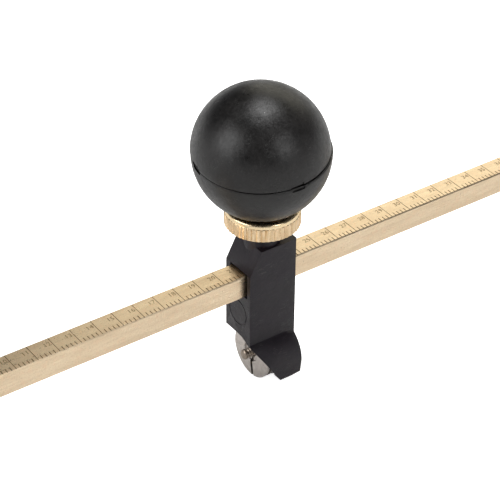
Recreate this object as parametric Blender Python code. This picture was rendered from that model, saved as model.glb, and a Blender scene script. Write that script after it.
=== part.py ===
"""Circle-cutting glass cutter: a scaled brass bar that turns on a suction cup.

A cutting head slides along the square bar.  A ball handle on a threaded spindle
clamps the head, a knurled nut locks the spindle, and a six-wheel turret under the
head holds the cutting wheels.

Metres, +Z up.  X runs along the bar, from the suction cup to the bar's free end.
The origin is the middle of the overall box, on the glass that the cutter stands on.
"""

import math

import bmesh
import bpy
from mathutils import Matrix, Vector

MM = 0.001

# ---- driving dimensions, in millimetres -------------------------------------------
BAR_SIDE = 5.5            # square brass bar, across flats
BAR_CHAMFER = 0.25
BAR_START = 8.0           # pivot axis to the bar's hidden end, inside the hub
BAR_REACH = 208.0         # pivot axis to the bar's free end
CUT_RADIUS = 111.4        # pivot axis to the head, where the head is clamped
CUP_RADIUS = 25.0
TURRET_DROP = 20.8        # bar axis down to the turret axis
WHEEL_TIP = 6.6           # turret axis to the cutting edge of a wheel

PIVOT_X = -(BAR_REACH - CUP_RADIUS) / 2
HEAD_X = PIVOT_X + CUT_RADIUS
BAR_Z = TURRET_DROP + WHEEL_TIP

# head body, measured from the bar axis at the head's middle
HEAD_FRONT = -6.2
HEAD_BACK = 6.0
HEAD_TOP = 8.8
HEAD_HALF = 4.5           # half the width of the upper block
SLOPE_START = 3.34        # height at which the front face starts to lean back
SLOPE_REACH = -3.3        # where the leaning face meets the top
UNDERSIDE_START = -15.4
FOOT_BOTTOM = -26.2
FOOT_FRONT = 0.8
FOOT_ROUND = 0.9
HOOD_RADIUS = 7.4
HOOD_Z = -20.8
BACK_TAPER = 2.4          # length of the draft at the back
BACK_HALF = 4.1
BACK_HOOD_RADIUS = 7.2
BACK_HOOD_Z = -22.2
SLOT_NEAR = -3.4          # square slot for the bar: near and far wall, floor and roof
SLOT_FAR = 2.95
SLOT_FLOOR = -2.95
SLOT_ROOF = 3.3
NECK_RADIUS = 4.0
NECK_TOP = 12.0
INSERT_RADIUS = 3.0
INSERT_BOTTOM = 6.4

# clamp spindle and ball handle
SPINDLE_RADIUS = 2.0
SPINDLE_TIP_RADIUS = 1.1
SPINDLE_LOW = 3.5
SPINDLE_HIGH = 24.4
PAD_RADIUS = 2.8
PAD_TOP = 4.4
PAD_RECESS = 1.0
NUT_RADIUS = 8.2
NUT_BOTTOM = 12.8
NUT_HEIGHT = 4.35
NUT_RIM_CHAMFER = 0.5
DISH_RADIUS = 6.9         # the nut's top is dished inside this radius
DISH_FLOOR_RADIUS = 4.7
DISH_DEPTH = 2.1
UPPER_RADIUS = 14.6       # the ball's two halves are not quite alike
LOWER_RADIUS = 14.73
BALL_WALL = 2.9
BALL_FLAT = 0.45          # height of the small flat under the ball
BALL_Z = 30.6
BOSS_RADIUS = 6.2         # boss inside the ball that holds the insert
BOSS_LOW = -12.0
BOSS_HIGH = -4.5
BOSS_BORE = 4.1
BOSS_BORE_HIGH = -5.4
UPPER_SHIFT = Vector((-0.47, 0.34, 0.0))   # the halves' centres stand off the spindle
LOWER_SHIFT = Vector((-0.28, 0.20, 0.0))
SEAM_LIFT = 0.4           # the seam lies this far over the ball's middle
SEAM_TILT = 6.3           # degrees
SEAM_RISE = Vector((0.643, 0.766, 0.0))    # the seam rises this way

# wheel turret, measured from the head's middle along the bar
CLAMP_NUT_FRONT = -2.8
CLAMP_NUT_THICK = 1.1
CLAMP_NUT_RADIUS = 6.2
CLAMP_NUT_BORE = 1.3
CLAMP_NUT_RECESS = 2.3    # radius of the shallow recess around the stud
DRIVER_SLOT = 0.64        # width of the slot across the clamp nut
DRIVER_SLOT_TURN = -8     # degrees
TURRET_FRONT = -1.4
TURRET_BACK = 1.2
TURRET_RADIUS = 6.2
TURRET_BACK_RADIUS = 6.4
TURRET_CORE = 2.9
TURRET_BORE = 1.6
GROOVE_FRONT = -0.65      # the wheels stand in this groove
GROOVE_BACK = 0.55
WHEEL_RADIUS = 1.7
WHEEL_HALF = 0.5
WHEEL_BORE = 0.52
WHEEL_BEVEL = 0.5
WHEEL_COUNT = 6
WHEEL_X = -0.05
PIN_RADIUS = 0.4
PIN_HOLE = 0.5
STUD_END = -4.9
STUD_RADIUS = 1.2
AXLE_RADIUS = 1.45
AXLE_HOLE = 1.7
SCREW_HEAD_RADIUS = 2.9
SCREW_HEAD_BORE = 3.2
SCREW_HEAD_DEPTH = 2.2
POCKET_RADIUS = 6.75
POCKET_BACK = 1.6

# suction cup
CUP_LIP = 3.0             # width of the flat ring that stands on the glass
CUP_FLANK = [(21.5, 2.3), (15.0, 4.9), (10.5, 6.6), (9.0, 8.4), (8.6, 11.2)]
CUP_TOP = 11.8
CUP_TOP_RADIUS = 8.0
CUP_HOLLOW = [(0, 3.2), (8.0, 3.0), (15.0, 2.0)]
CUP_SOCKET_RADIUS = 5.2
CUP_SOCKET_FLOOR = 5.6
CUP_INSERT_RADIUS = 4.9
CUP_INSERT_FLOOR = 5.9
CUP_FLANGE_RADIUS = 6.8
CUP_FLANGE_LOW = 12.1
CUP_FLANGE_HIGH = 13.1

# pivot
HUB_RADIUS = 9.0
HUB_BOTTOM = 14.6
HUB_TOP = 35.0
HUB_CHAMFER = 0.8
HUB_BORE = 4.3
HUB_HEAD_BORE = 5.3       # wider bore for the screw's head
HUB_SHELF = HUB_TOP - 4.6
ARM_START = 2.0
ARM_LENGTH = 24.0
ARM_HALF_WIDTH = 6.0
ARM_HALF_HEIGHT = 6.5
BUSH_RADIUS = 4.15
BUSH_LENGTH = 5.9
POST_RADIUS = 3.0
POST_THREAD_RADIUS = 2.5
POST_TIP = 7.8
POST_SHOULDER = 13.3
POST_HEAD_RADIUS = 4.9
POST_HEAD_HEIGHT = 2.6
CAP_RADIUS = 7.6
CAP_PLUG_RADIUS = 5.1
CAP_PLUG_DEPTH = 1.4
SET_SCREW_X = (13.0, 19.0)
SET_SCREW_RADIUS = 1.5
SET_SCREW_HOLE = 1.7
SET_SCREW_END = 5.9

# colours
BLACK_PLASTIC = (0.018, 0.017, 0.019)
BLACK_RUBBER = (0.022, 0.022, 0.023)
BRASS = (0.72, 0.55, 0.27)
NICKEL = (0.62, 0.60, 0.57)
STEEL = (0.50, 0.50, 0.51)
CARBIDE = (0.33, 0.33, 0.35)


# ---- helpers ----------------------------------------------------------------------

def clear_scene():
    for obj in list(bpy.data.objects):
        bpy.data.objects.remove(obj, do_unlink=True)


def material(name, colour, roughness, metallic):
    mat = bpy.data.materials.new(name)
    mat.use_nodes = True
    shader = mat.node_tree.nodes["Principled BSDF"]
    shader.inputs["Base Color"].default_value = (*colour, 1.0)
    shader.inputs["Roughness"].default_value = roughness
    shader.inputs["Metallic"].default_value = metallic
    mat.diffuse_color = (*colour, 1.0)
    return mat


def add_object(name, bm, mat=None, at=(0, 0, 0), turn=None):
    """An object from a bmesh drawn in millimetres, placed at `at` (millimetres)."""
    bmesh.ops.recalc_face_normals(bm, faces=bm.faces)
    bmesh.ops.scale(bm, vec=(MM, MM, MM), verts=bm.verts)
    mesh = bpy.data.meshes.new(name)
    bm.to_mesh(mesh)
    bm.free()
    obj = bpy.data.objects.new(name, mesh)
    bpy.context.scene.collection.objects.link(obj)
    if mat:
        mesh.materials.append(mat)
    obj.location = Vector(at) * MM
    if turn:
        obj.rotation_euler = turn
    return obj


def smooth(obj, angle=35):
    obj.data.shade_smooth()
    obj.data.set_sharp_from_angle(angle=math.radians(angle))
    return obj


def turned_mesh(profile, steps, closed=False):
    """A profile of (radius, height) points turned about Z; closed joins its two ends."""
    bm = bmesh.new()
    verts = [bm.verts.new((r, 0, z)) for r, z in profile]
    pairs = list(zip(verts, verts[1:]))
    if closed:
        pairs.append((verts[-1], verts[0]))
    edges = [bm.edges.new(pair) for pair in pairs]
    bmesh.ops.spin(bm, geom=verts + edges, cent=(0, 0, 0), axis=(0, 0, 1),
                   angle=2 * math.pi, steps=steps, use_merge=True)
    bmesh.ops.remove_doubles(bm, verts=bm.verts, dist=0.0005)
    return bm


def turned(name, profile, mat, at, steps=32, closed=False, along_bar=False):
    """A turned piece; along_bar lays its axis from +Z onto +X."""
    bm = turned_mesh(profile, steps, closed)
    if along_bar:
        bmesh.ops.rotate(bm, verts=bm.verts, matrix=Matrix.Rotation(math.pi / 2, 3, "Y"))
    return smooth(add_object(name, bm, mat, at))


def sleeve(outer, inner, low, high, chamfer=0.0):
    """The closed profile of a plain bush from low to high."""
    c = chamfer
    if not c:
        return [(inner, low), (outer, low), (outer, high), (inner, high)]
    return [(inner, low), (outer - c, low), (outer, low + c), (outer, high - c),
            (outer - c, high), (inner, high)]


def block(low, high):
    """A box between two corners, in millimetres."""
    bm = bmesh.new()
    bmesh.ops.create_cube(bm, size=1.0)
    low, high = Vector(low), Vector(high)
    size = high - low
    bmesh.ops.scale(bm, vec=size, verts=bm.verts)
    bmesh.ops.translate(bm, vec=(low + high) / 2, verts=bm.verts)
    return bm


def prism(outline, start, end):
    """An outline of (x, z) points extruded along Y from start to end."""
    bm = bmesh.new()
    face = bm.faces.new([bm.verts.new((x, start, z)) for x, z in outline])
    grown = bmesh.ops.extrude_face_region(bm, geom=[face])
    verts = [v for v in grown["geom"] if isinstance(v, bmesh.types.BMVert)]
    bmesh.ops.translate(bm, vec=(0, end - start, 0), verts=verts)
    return bm


def stepped_rod(steps_of_radius, steps=32, along_bar=False, phase=0.0):
    """Coaxial cylinders end to end, as (radius, low, high), first to last up the axis."""
    profile = [(0, steps_of_radius[0][1])]
    for radius, low, high in steps_of_radius:
        profile += [(radius, low), (radius, high)]
    profile.append((0, steps_of_radius[-1][2]))
    bm = turned_mesh(profile, steps)
    turn = Matrix.Rotation(phase, 3, "Z")
    if along_bar:
        turn = Matrix.Rotation(math.pi / 2, 3, "Y") @ turn
    bmesh.ops.rotate(bm, verts=bm.verts, matrix=turn)
    return bm


def rod(radius, low, high, steps=32, along_bar=False, phase=0.0):
    return stepped_rod([(radius, low, high)], steps, along_bar, phase)


def boolean(obj, bm, at, operation="DIFFERENCE", turn=None):
    """Cuts obj with a hidden tool, or joins the tool to it."""
    tool = add_object(obj.name + "_tool", bm, None, at, turn)
    tool.hide_render = True
    tool.display_type = "WIRE"
    mod = obj.modifiers.new(operation.lower(), "BOOLEAN")
    mod.operation = operation
    mod.object = tool
    mod.solver = "EXACT"
    return tool


def arc(centre, radius, start, end, count):
    """Points on a circle from start to end, in degrees."""
    step = (end - start) / (count - 1)
    angles = [math.radians(start + step * i) for i in range(count)]
    return [(centre[0] + radius * math.cos(a), centre[1] + radius * math.sin(a))
            for a in angles]


# ---- bar --------------------------------------------------------------------------

def make_bar(mats):
    half = BAR_SIDE / 2
    bm = block((PIVOT_X + BAR_START, -half, -half), (PIVOT_X + BAR_REACH, half, half))
    bmesh.ops.bevel(bm, geom=bm.edges, offset=BAR_CHAMFER, segments=1, affect="EDGES")
    return add_object("scaled_bar", bm, mats["brass"], (0, 0, BAR_Z))


# ---- pivot and suction cup --------------------------------------------------------

def make_cup(mats):
    at = (PIVOT_X, 0, 0)
    lip = [(CUP_RADIUS - CUP_LIP, 0), (CUP_RADIUS, 0), (CUP_RADIUS, 1.2)]
    top = [(CUP_TOP_RADIUS, CUP_TOP), (CUP_SOCKET_RADIUS, CUP_TOP)]
    socket = [(CUP_SOCKET_RADIUS, CUP_SOCKET_FLOOR), (0, CUP_SOCKET_FLOOR)]
    bm = turned_mesh(CUP_HOLLOW + lip + CUP_FLANK + top + socket, 40)
    return smooth(add_object("suction_cup", bm, mats["rubber"], at))


def make_cup_insert(mats):
    bore = POST_THREAD_RADIUS + 0.2
    bore_floor = CUP_INSERT_FLOOR + 1.5
    profile = [(0, CUP_INSERT_FLOOR), (CUP_INSERT_RADIUS, CUP_INSERT_FLOOR),
               (CUP_INSERT_RADIUS, CUP_FLANGE_LOW), (CUP_FLANGE_RADIUS, CUP_FLANGE_LOW),
               (CUP_FLANGE_RADIUS, CUP_FLANGE_HIGH), (bore, CUP_FLANGE_HIGH),
               (bore, bore_floor), (0, bore_floor)]
    return turned("cup_insert", profile, mats["brass"], (PIVOT_X, 0, 0))


def make_thrust_washer(mats):
    profile = sleeve(CUP_FLANGE_RADIUS - 0.2, POST_RADIUS + 0.3, CUP_FLANGE_HIGH + 0.3,
                     HUB_BOTTOM - 0.3)
    return turned("thrust_washer", profile, mats["nylon"], (PIVOT_X, 0, 0), closed=True)


def make_pivot_hub(mats):
    """Round hub with an arm that holds the bar; the pivot screw runs down its middle."""
    at = (PIVOT_X, 0, 0)
    c = HUB_CHAMFER
    bm = turned_mesh([(0, HUB_BOTTOM), (HUB_RADIUS - c, HUB_BOTTOM),
                      (HUB_RADIUS, HUB_BOTTOM + c), (HUB_RADIUS, HUB_TOP - c),
                      (HUB_RADIUS - c, HUB_TOP), (0, HUB_TOP)], 40)
    hub = add_object("pivot_hub", bm, mats["black_plastic"], at)
    arm = block((ARM_START, -ARM_HALF_WIDTH, BAR_Z - ARM_HALF_HEIGHT),
                (ARM_LENGTH, ARM_HALF_WIDTH, BAR_Z + ARM_HALF_HEIGHT))
    bmesh.ops.bevel(arm, geom=arm.edges, offset=0.7, segments=1, affect="EDGES")
    boolean(hub, arm, at, "UNION")
    slot = BAR_SIDE / 2 + 0.15
    boolean(hub, block((BAR_START - 0.4, -slot, BAR_Z - slot),
                       (ARM_LENGTH + 2, slot, BAR_Z + slot)), at)
    boolean(hub, stepped_rod([(HUB_BORE, HUB_BOTTOM - 2, HUB_SHELF),
                              (HUB_HEAD_BORE, HUB_SHELF, HUB_TOP + 2)], phase=0.05), at)
    for x in SET_SCREW_X:
        tool = rod(SET_SCREW_HOLE, -ARM_HALF_WIDTH - 2, -BAR_SIDE / 2, steps=16)
        bmesh.ops.rotate(tool, verts=tool.verts, matrix=Matrix.Rotation(-math.pi / 2, 3, "X"))
        boolean(hub, tool, (PIVOT_X + x, 0, BAR_Z))
    return smooth(hub)


def make_set_screws(mats):
    """Two slotted grub screws, side by side in the arm, that bear on the bar."""
    for index, x in enumerate(SET_SCREW_X):
        name = "bar_set_screw_%d" % (index + 1)
        at = (PIVOT_X + x, 0, BAR_Z)
        bm = rod(SET_SCREW_RADIUS, -SET_SCREW_END, -BAR_SIDE / 2 - 0.1, steps=16)
        bmesh.ops.rotate(bm, verts=bm.verts, matrix=Matrix.Rotation(-math.pi / 2, 3, "X"))
        screw = smooth(add_object(name, bm, mats["steel"], at))
        boolean(screw, block((-2.0, -SET_SCREW_END - 0.6, -0.25),
                             (2.0, -SET_SCREW_END + 0.6, 0.25)), at)


def make_pivot_bushes(mats):
    made = []
    for name, low in (("pivot_bush_lower", HUB_BOTTOM + 0.1),
                      ("pivot_bush_upper", HUB_SHELF - BUSH_LENGTH - 0.3)):
        profile = sleeve(BUSH_RADIUS, POST_RADIUS + 0.08, low, low + BUSH_LENGTH)
        made.append(turned(name, profile, mats["brass"], (PIVOT_X, 0, 0), closed=True))
    return made


def make_pivot_screw(mats):
    """Shoulder screw: thread in the cup's insert, shoulder through both bushes."""
    head_low = HUB_SHELF + 0.3
    head_high = head_low + POST_HEAD_HEIGHT
    profile = [(0, POST_TIP), (POST_THREAD_RADIUS, POST_TIP), (POST_THREAD_RADIUS, POST_SHOULDER),
               (POST_RADIUS, POST_SHOULDER), (POST_RADIUS, head_low),
               (POST_HEAD_RADIUS, head_low), (POST_HEAD_RADIUS, head_high - 0.4),
               (POST_HEAD_RADIUS - 0.4, head_high), (0, head_high)]
    screw = turned("pivot_screw", profile, mats["steel"], (PIVOT_X, 0, 0))
    boolean(screw, block((-6, -0.5, head_high - 1.0), (6, 0.5, head_high + 1)), (PIVOT_X, 0, 0))
    return screw


def make_pivot_cap(mats):
    """Plug that closes the hub over the screw's head."""
    low, seat = HUB_TOP - CAP_PLUG_DEPTH, HUB_TOP + 0.2
    profile = [(0, low), (CAP_PLUG_RADIUS, low), (CAP_PLUG_RADIUS, seat), (CAP_RADIUS, seat),
               (CAP_RADIUS, seat + 0.5), (CAP_RADIUS - 1.0, seat + 1.3), (0, seat + 1.7)]
    return turned("pivot_cap", profile, mats["black_plastic"], (PIVOT_X, 0, 0))


# ---- cutting head -----------------------------------------------------------------

def head_section(half, fold, hood_radius, hood_z):
    """Half of the head's cross-section, (y, z) from the top down to the foot's corner."""
    reach = math.degrees(math.atan2(fold - hood_z, half))
    flank = arc((0, hood_z), hood_radius, reach, 0, 7)
    corner = arc((hood_radius - 1.3, FOOT_BOTTOM + FOOT_ROUND), FOOT_ROUND, 0, -90, 4)
    return [(half, HEAD_TOP)] + flank + corner


def loft_sections(sections):
    """Closed body through symmetric sections, each a list of (y, z) at one x."""
    bm = bmesh.new()
    rings = []
    for x, half in sections:
        points = half + [(-y, z) for y, z in reversed(half)]
        rings.append([bm.verts.new((x, y, z)) for y, z in points])
    count = len(rings[0])
    for near, far in zip(rings, rings[1:]):
        for i in range(count):
            j = (i + 1) % count
            bm.faces.new((near[i], near[j], far[j], far[i]))
    bm.faces.new(rings[0])
    bm.faces.new(rings[-1])
    return bm


def hood_fold(half, radius, centre):
    """Height at which the round hood leaves a flat side."""
    return centre + math.sqrt(radius ** 2 - half ** 2)


def make_head_body(mats):
    at = (HEAD_X, 0, BAR_Z)
    full = head_section(HEAD_HALF, hood_fold(HEAD_HALF, HOOD_RADIUS, HOOD_Z),
                        HOOD_RADIUS, HOOD_Z)
    back = head_section(BACK_HALF, hood_fold(BACK_HALF, BACK_HOOD_RADIUS, BACK_HOOD_Z),
                        BACK_HOOD_RADIUS, BACK_HOOD_Z)
    bm = loft_sections([(HEAD_FRONT, full), (HEAD_BACK - BACK_TAPER, full), (HEAD_BACK, back)])
    head = add_object("head_body", bm, mats["black_plastic"], at)
    lean = (HEAD_TOP - SLOPE_START) / (SLOPE_REACH - HEAD_FRONT)
    front_cut = [(HEAD_FRONT - 1, SLOPE_START - lean), (SLOPE_REACH + 1 / lean, HEAD_TOP + 1),
                 (HEAD_FRONT - 1, HEAD_TOP + 1)]
    boolean(head, prism(front_cut, -10, 10), at)
    boolean(head, rod(NECK_RADIUS, HEAD_TOP - 3.8, NECK_TOP), at, "UNION")
    slope = (FOOT_FRONT - HEAD_FRONT) / (FOOT_BOTTOM - UNDERSIDE_START)
    under = [(HEAD_FRONT - 1, UNDERSIDE_START - 1 / slope), (FOOT_FRONT - slope, FOOT_BOTTOM - 1),
             (HEAD_FRONT - 1, FOOT_BOTTOM - 1)]
    boolean(head, prism(under, -10, 10), at)
    boolean(head, block((HEAD_FRONT - 1, 0, -TURRET_DROP - POCKET_RADIUS),
                        (POCKET_BACK, 10, -TURRET_DROP + POCKET_RADIUS)), at)
    counterbore = HEAD_BACK - SCREW_HEAD_DEPTH
    boolean(head, stepped_rod([(POCKET_RADIUS, HEAD_FRONT - 1, POCKET_BACK),
                               (AXLE_HOLE, POCKET_BACK, counterbore),
                               (SCREW_HEAD_BORE, counterbore, HEAD_BACK + 1)], 40, True, 0.03),
            (HEAD_X, 0, BAR_Z - TURRET_DROP))
    boolean(head, block((HEAD_FRONT - 1, SLOT_NEAR, SLOT_FLOOR),
                        (HEAD_BACK + 1, SLOT_FAR, SLOT_ROOF)), at)
    boolean(head, rod(INSERT_RADIUS, SLOT_ROOF - 1.3, NECK_TOP + 1), at)
    return smooth(head, 25)


def make_head_insert(mats):
    profile = sleeve(INSERT_RADIUS - 0.1, SPINDLE_RADIUS + 0.1, INSERT_BOTTOM, NECK_TOP - 0.1,
                     0.3)
    return turned("threaded_insert", profile, mats["brass"], (HEAD_X, 0, BAR_Z), closed=True)


def make_pressure_pad(mats):
    """Shoe that the spindle pushes onto the bar; a recess takes the spindle's tip."""
    low, bore = BAR_SIDE / 2 + 0.1, SPINDLE_TIP_RADIUS + 0.2
    profile = [(0, low), (PAD_RADIUS - 0.3, low), (PAD_RADIUS, low + 0.3), (PAD_RADIUS, PAD_TOP),
               (bore, PAD_TOP), (bore, PAD_TOP - PAD_RECESS), (0, PAD_TOP - PAD_RECESS)]
    return turned("pressure_pad", profile, mats["brass"], (HEAD_X, 0, BAR_Z))


def make_spindle(mats):
    tip, low, high = SPINDLE_TIP_RADIUS, SPINDLE_LOW, SPINDLE_HIGH
    profile = [(0, low), (tip, low), (tip, low + 1.0), (SPINDLE_RADIUS, low + 1.0),
               (SPINDLE_RADIUS, high - 0.4), (SPINDLE_RADIUS - 0.4, high), (0, high)]
    return turned("clamp_spindle", profile, mats["steel"], (HEAD_X, 0, BAR_Z), steps=24)


def make_lock_washer(mats):
    profile = sleeve(NECK_RADIUS, SPINDLE_RADIUS + 0.15, NECK_TOP + 0.1, NUT_BOTTOM - 0.1)
    return turned("lock_washer", profile, mats["steel"], (HEAD_X, 0, BAR_Z), closed=True)


def make_lock_nut(mats):
    """Knurled round nut with a dished top under the ball."""
    top = NUT_BOTTOM + NUT_HEIGHT
    bore = SPINDLE_RADIUS + 0.1
    profile = [(bore, NUT_BOTTOM), (NUT_RADIUS - 0.3, NUT_BOTTOM), (NUT_RADIUS, NUT_BOTTOM + 0.3),
               (NUT_RADIUS, top - NUT_RIM_CHAMFER), (NUT_RADIUS - NUT_RIM_CHAMFER, top),
               (DISH_RADIUS, top), (5.4, top - 1.3), (DISH_FLOOR_RADIUS, top - DISH_DEPTH),
               (bore, top - DISH_DEPTH)]
    return turned("lock_nut", profile, mats["brass"], (HEAD_X, 0, BAR_Z), 40, closed=True)


def seam_box(above):
    """A big box on one side of the ball's tilted seam."""
    gap = 0.06
    low, high = (gap, 40.0) if above else (-40.0, -gap)
    return block((-30, -30, low), (30, 30, high))


def make_ball_half(name, mats, radius, shift, above):
    """One half of the hollow ball, cut at the tilted seam."""
    spindle = Vector((HEAD_X, 0, BAR_Z + BALL_Z))
    at = spindle + shift
    flat = -radius + BALL_FLAT
    start = math.degrees(math.asin(flat / radius))
    outline = [(0, flat)] + arc((0, 0), radius, start, 90, 14)[:-1] + [(0, radius)]
    ball = add_object(name, turned_mesh(outline, 40), mats["black_plastic"], at)
    room = radius - BALL_WALL
    floor = room * math.sin(math.radians(-65))
    inside = [(0, floor)] + arc((0, 0), room, -65, 90, 7)[:-1] + [(0, room)]
    boolean(ball, turned_mesh(inside, 20), at)
    if not above:
        boolean(ball, rod(BOSS_RADIUS, BOSS_LOW, BOSS_HIGH, 24, phase=0.1), spindle, "UNION")
    axis = Vector((0, 0, 1)).cross(SEAM_RISE)
    tilt = Matrix.Rotation(-math.radians(SEAM_TILT), 3, axis).to_euler()
    seam = spindle + UPPER_SHIFT + Vector((0, 0, SEAM_LIFT))
    tool = boolean(ball, seam_box(above), seam, "INTERSECT", tilt)
    tool.name = name + "_seam_tool"
    if not above:
        boolean(ball, rod(BOSS_BORE, -radius - 5, BOSS_BORE_HIGH, 24, phase=0.1), spindle)
    return smooth(ball)


def make_ball_insert(mats):
    low = BALL_Z - LOWER_RADIUS + BALL_FLAT + 0.05
    bore, outer = SPINDLE_RADIUS + 0.1, BOSS_BORE - 0.2
    blind = SPINDLE_HIGH + 0.2
    profile = [(0, blind), (bore, blind), (bore, low), (outer, low), (outer, blind + 0.3),
               (0, blind + 0.3)]
    return turned("ball_insert", profile, mats["brass"], (HEAD_X, 0, BAR_Z))


# ---- wheel turret -----------------------------------------------------------------

def wheel_angle(index):
    """Angle of a wheel about the turret axis; wheel 0 points straight down."""
    return 2 * math.pi * index / WHEEL_COUNT


def wheel_centre(index):
    reach = WHEEL_TIP - WHEEL_RADIUS
    a = wheel_angle(index)
    return Vector((HEAD_X + WHEEL_X, -reach * math.sin(a),
                   BAR_Z - TURRET_DROP - reach * math.cos(a)))


def make_turret(mats):
    """Spool whose groove holds the wheels between two flanges, with six pin holes."""
    at = (HEAD_X, 0, BAR_Z - TURRET_DROP)
    profile = [(TURRET_BORE, TURRET_FRONT), (TURRET_RADIUS, TURRET_FRONT),
               (TURRET_RADIUS, GROOVE_FRONT), (TURRET_CORE, GROOVE_FRONT),
               (TURRET_CORE, GROOVE_BACK), (TURRET_BACK_RADIUS, GROOVE_BACK),
               (TURRET_BACK_RADIUS, TURRET_BACK), (TURRET_BORE, TURRET_BACK)]
    turret = turned("wheel_turret", profile, mats["nickel"], at, 40, closed=True, along_bar=True)
    for i in range(WHEEL_COUNT):
        boolean(turret, rod(PIN_HOLE, -3, 3, 10, True, 0.2), wheel_centre(i))
    return turret


def make_wheel(mats, index):
    """Cutting wheel with a sharp rim, free to turn on its pin."""
    flank, half = WHEEL_RADIUS - WHEEL_BEVEL, WHEEL_HALF
    profile = [(WHEEL_BORE, -half), (flank, -half), (WHEEL_RADIUS, 0), (flank, half),
               (WHEEL_BORE, half)]
    name = "cutting_wheel_%d" % (index + 1)
    return turned(name, profile, mats["carbide"], wheel_centre(index), 16, True, True)


def make_wheel_pin(mats, index):
    """Axle of one wheel, from flange to flange."""
    at = wheel_centre(index)
    bm = rod(PIN_RADIUS, TURRET_FRONT + 0.05 - WHEEL_X, TURRET_BACK - 0.05 - WHEEL_X, 8, True)
    return smooth(add_object("wheel_pin_%d" % (index + 1), bm, mats["steel"], at))


def make_turret_screw(mats):
    """Axle screw: slotted head at the back of the foot, thread standing out in front."""
    at = (HEAD_X, 0, BAR_Z - TURRET_DROP)
    shoulder = CLAMP_NUT_FRONT + CLAMP_NUT_THICK + 0.1
    head_low = HEAD_BACK - SCREW_HEAD_DEPTH + 0.3
    head_high = HEAD_BACK - 0.15
    profile = [(0, STUD_END), (STUD_RADIUS - 0.25, STUD_END), (STUD_RADIUS, STUD_END + 0.25),
               (STUD_RADIUS, shoulder), (AXLE_RADIUS, shoulder), (AXLE_RADIUS, head_low),
               (SCREW_HEAD_RADIUS, head_low), (SCREW_HEAD_RADIUS, head_high - 0.35),
               (SCREW_HEAD_RADIUS - 0.4, head_high), (0, head_high)]
    screw = turned("turret_screw", profile, mats["nickel"], at, 24, along_bar=True)
    boolean(screw, block((head_high - 0.75, -0.35, -4), (HEAD_BACK + 1, 0.35, 4)), at)
    return screw


def make_turret_nut(mats):
    """Thin round nut with a driver slot, in front of the turret."""
    at = (HEAD_X, 0, BAR_Z - TURRET_DROP)
    front, back = CLAMP_NUT_FRONT, CLAMP_NUT_FRONT + CLAMP_NUT_THICK
    recess = front + 0.5
    profile = [(CLAMP_NUT_BORE, back), (CLAMP_NUT_RADIUS, back), (CLAMP_NUT_RADIUS, front + 0.2),
               (CLAMP_NUT_RADIUS - 0.2, front), (CLAMP_NUT_RECESS, front),
               (CLAMP_NUT_RECESS - 0.2, recess), (CLAMP_NUT_BORE, recess)]
    nut = turned("turret_nut", profile, mats["nickel"], at, 40, closed=True, along_bar=True)
    half = DRIVER_SLOT / 2
    slot = block((front - 1, -half, -7), (front + 0.6, half, 7))
    turn = Matrix.Rotation(math.radians(DRIVER_SLOT_TURN), 3, "X")
    bmesh.ops.rotate(slot, verts=slot.verts, matrix=turn)
    boolean(nut, slot, at)
    return nut


def make_turret_washer(mats):
    at = (HEAD_X, 0, BAR_Z - TURRET_DROP)
    profile = sleeve(3.4, TURRET_BORE, TURRET_BACK + 0.08, POCKET_BACK - 0.08)
    return turned("turret_washer", profile, mats["steel"], at, 24, closed=True, along_bar=True)


def main():
    clear_scene()
    mats = {
        "black_plastic": material("black_plastic", BLACK_PLASTIC, 0.45, 0.0),
        "rubber": material("rubber", BLACK_RUBBER, 0.6, 0.0),
        "nylon": material("nylon", (0.75, 0.74, 0.70), 0.5, 0.0),
        "brass": material("brass", BRASS, 0.3, 1.0),
        "nickel": material("nickel", NICKEL, 0.35, 1.0),
        "steel": material("steel", STEEL, 0.35, 1.0),
        "carbide": material("carbide", CARBIDE, 0.3, 1.0),
    }
    make_bar(mats)
    make_cup(mats)
    make_cup_insert(mats)
    make_thrust_washer(mats)
    make_pivot_hub(mats)
    make_set_screws(mats)
    make_pivot_bushes(mats)
    make_pivot_screw(mats)
    make_pivot_cap(mats)
    make_head_body(mats)
    make_head_insert(mats)
    make_pressure_pad(mats)
    make_spindle(mats)
    make_lock_washer(mats)
    make_lock_nut(mats)
    make_ball_half("ball_lower", mats, LOWER_RADIUS, LOWER_SHIFT, above=False)
    make_ball_half("ball_upper", mats, UPPER_RADIUS, UPPER_SHIFT, above=True)
    make_ball_insert(mats)
    make_turret(mats)
    make_turret_screw(mats)
    make_turret_nut(mats)
    make_turret_washer(mats)
    for index in range(WHEEL_COUNT):
        make_wheel(mats, index)
        make_wheel_pin(mats, index)


main()
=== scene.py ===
"""Looks of the circle glass cutter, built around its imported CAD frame.

Shapes are drawn in millimetres about a local origin: the bar's axis under the clamp
spindle for the head, the turret's axis for the wheels, the pivot's axis on the glass
for the cup. add_piece() puts them into the frame, in metres.
"""
import math

import bmesh
import bpy
from mathutils import Matrix, Vector


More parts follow.
